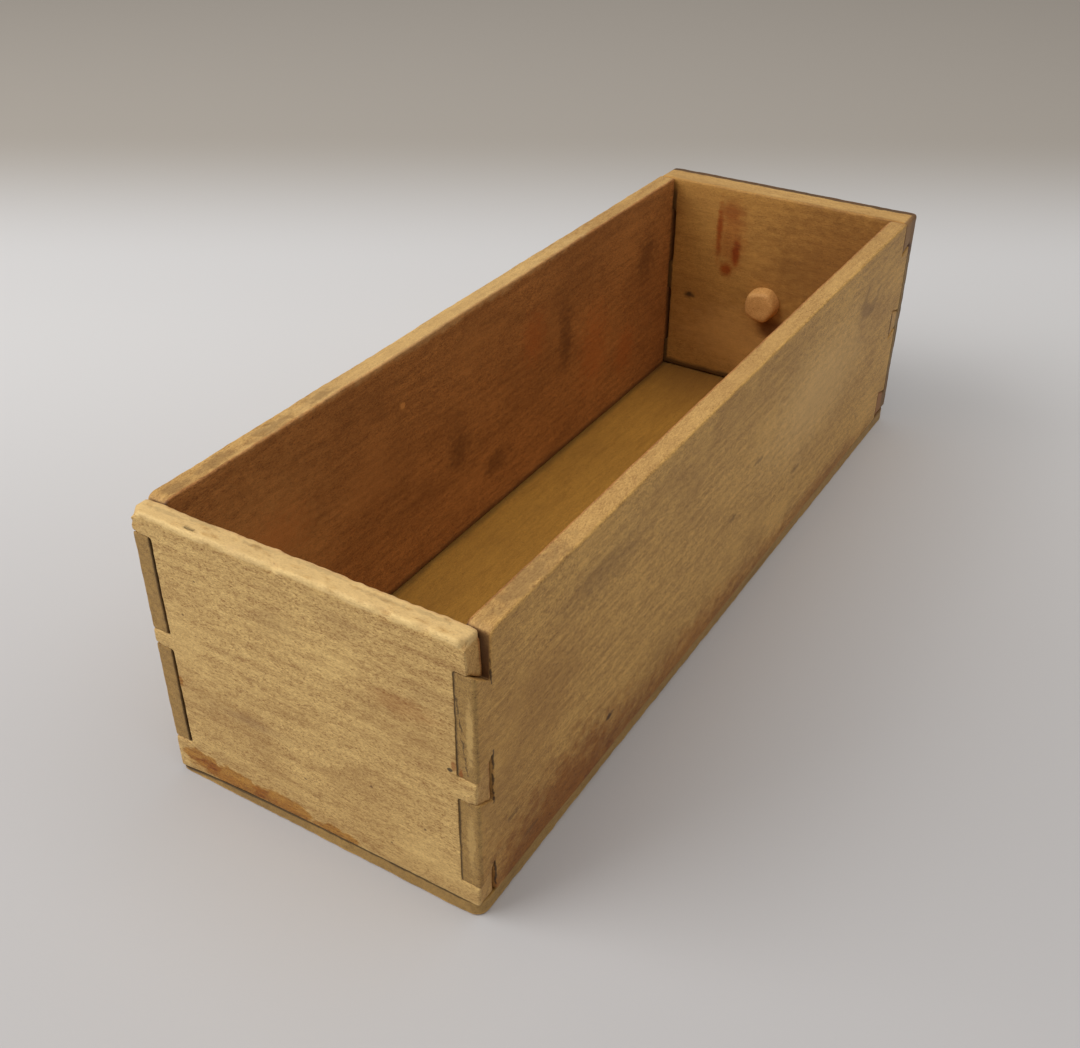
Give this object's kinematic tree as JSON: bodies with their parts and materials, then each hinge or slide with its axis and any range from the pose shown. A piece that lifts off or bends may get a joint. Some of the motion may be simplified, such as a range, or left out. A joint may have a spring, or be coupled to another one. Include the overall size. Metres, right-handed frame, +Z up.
{
  "type": "small wooden drawer",
  "caption": "Long narrow open-top wooden drawer with dovetailed walls, a bottom board planted under them and a turned pull knob tenoned through the front.",
  "frame": {"origin": "on the underside's plane, under the middle of the whole length, knob included, and midway between the two sides", "axes": "+Z up, out of the open top; +Y along the drawer, from the back board towards the front board and its knob; +X across it, towards the right side as seen from the back"},
  "size_m": [0.102, 0.322, 0.088],
  "materials": {
    "side_wood": "bare aged beech, hand planed, grimy",
    "end_wood": "bare aged beech, hand planed; dark stained on the front's outer face",
    "bottom_wood": "bare aged wood, yellow ochre",
    "knob_wood": "turned hardwood, brown and smooth",
    "brad_iron": "dull rusted iron"
  },
  "bodies": {
    "root": {"left_side": "side_wood", "right_side": "side_wood", "back_board": "end_wood", "front_board": "end_wood", "bottom_board": "bottom_wood", "pull_knob": "knob_wood", "brad_left_1": "brad_iron", "brad_left_2": "brad_iron", "brad_left_3": "brad_iron", "brad_left_4": "brad_iron", "brad_right_1": "brad_iron", "brad_right_2": "brad_iron", "brad_right_3": "brad_iron", "brad_right_4": "brad_iron", "brad_back_1": "brad_iron", "brad_back_2": "brad_iron", "brad_front_1": "brad_iron", "brad_front_2": "brad_iron"}
  },
  "joints": []
}
